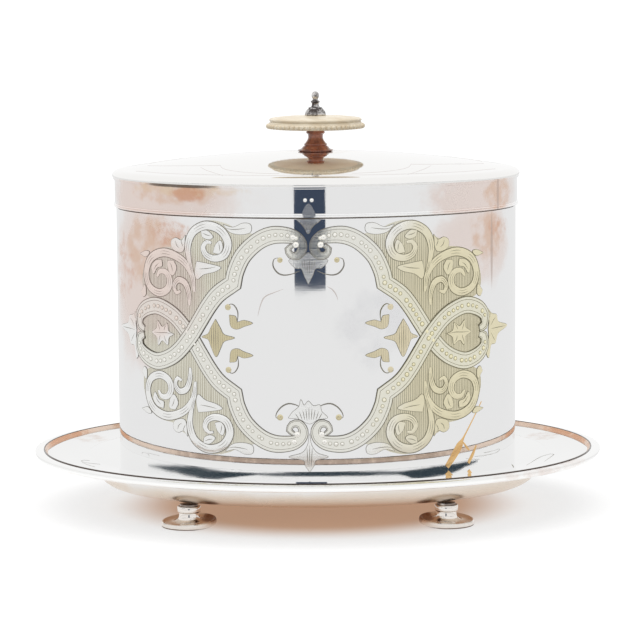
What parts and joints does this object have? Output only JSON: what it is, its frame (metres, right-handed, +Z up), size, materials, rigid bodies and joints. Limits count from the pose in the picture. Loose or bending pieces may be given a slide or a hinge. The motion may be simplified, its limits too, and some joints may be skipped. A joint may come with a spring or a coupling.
{
  "type": "biscuit box",
  "caption": "Oval silver-plated biscuit box with an engraved wall and a hinged domed lid with a disc finial, fixed on an oval tray with round pad feet.",
  "frame": {"origin": "centre of the oval, on the surface that the four pad feet stand on", "axes": "+Z up, +X along the oval's long way with the front seen from -Y, so the hinge is at +Y"},
  "size_m": [0.271, 0.22, 0.1986],
  "materials": {
    "silver_plate": "polished silver plate, engraved, lightly tarnished",
    "worn_silver": "worn silver plate with brown tarnish",
    "rosewood": "polished dark reddish-brown wood",
    "ivory": "polished cream, slightly yellowed",
    "steel": "plain turned steel"
  },
  "bodies": {
    "box_and_stand": {"tray_plate": "silver_plate", "tray_rim": "worn_silver", "body_wall": "silver_plate", "body_floor": "silver_plate", "body_bezel": "silver_plate", "body_hinge_leaf": "silver_plate", "hinge_pin": "steel", "foot_pad_front_left": "worn_silver", "foot_neck_front_left": "worn_silver", "foot_pad_front_right": "worn_silver", "foot_neck_front_right": "worn_silver", "foot_pad_back_left": "worn_silver", "foot_neck_back_left": "worn_silver", "foot_pad_back_right": "worn_silver", "foot_neck_back_right": "worn_silver"},
    "lid": {"lid_bead": "silver_plate", "lid_band": "silver_plate", "lid_fillet": "silver_plate", "lid_cover": "silver_plate", "lid_hinge_leaf": "silver_plate", "finial_stem": "rosewood", "finial_disc": "ivory", "finial_nut": "silver_plate", "finial_stud": "steel", "lid_washer": "silver_plate", "lid_nut": "steel"}
  },
  "joints": [
    {"name": "lid_hinge", "type": "hinge", "parent": "box_and_stand", "child": "lid", "pos_m": [0, 0.0789, 0.14485], "axis": [-1, 0, 0], "range_deg": [0, 100]}
  ]
}
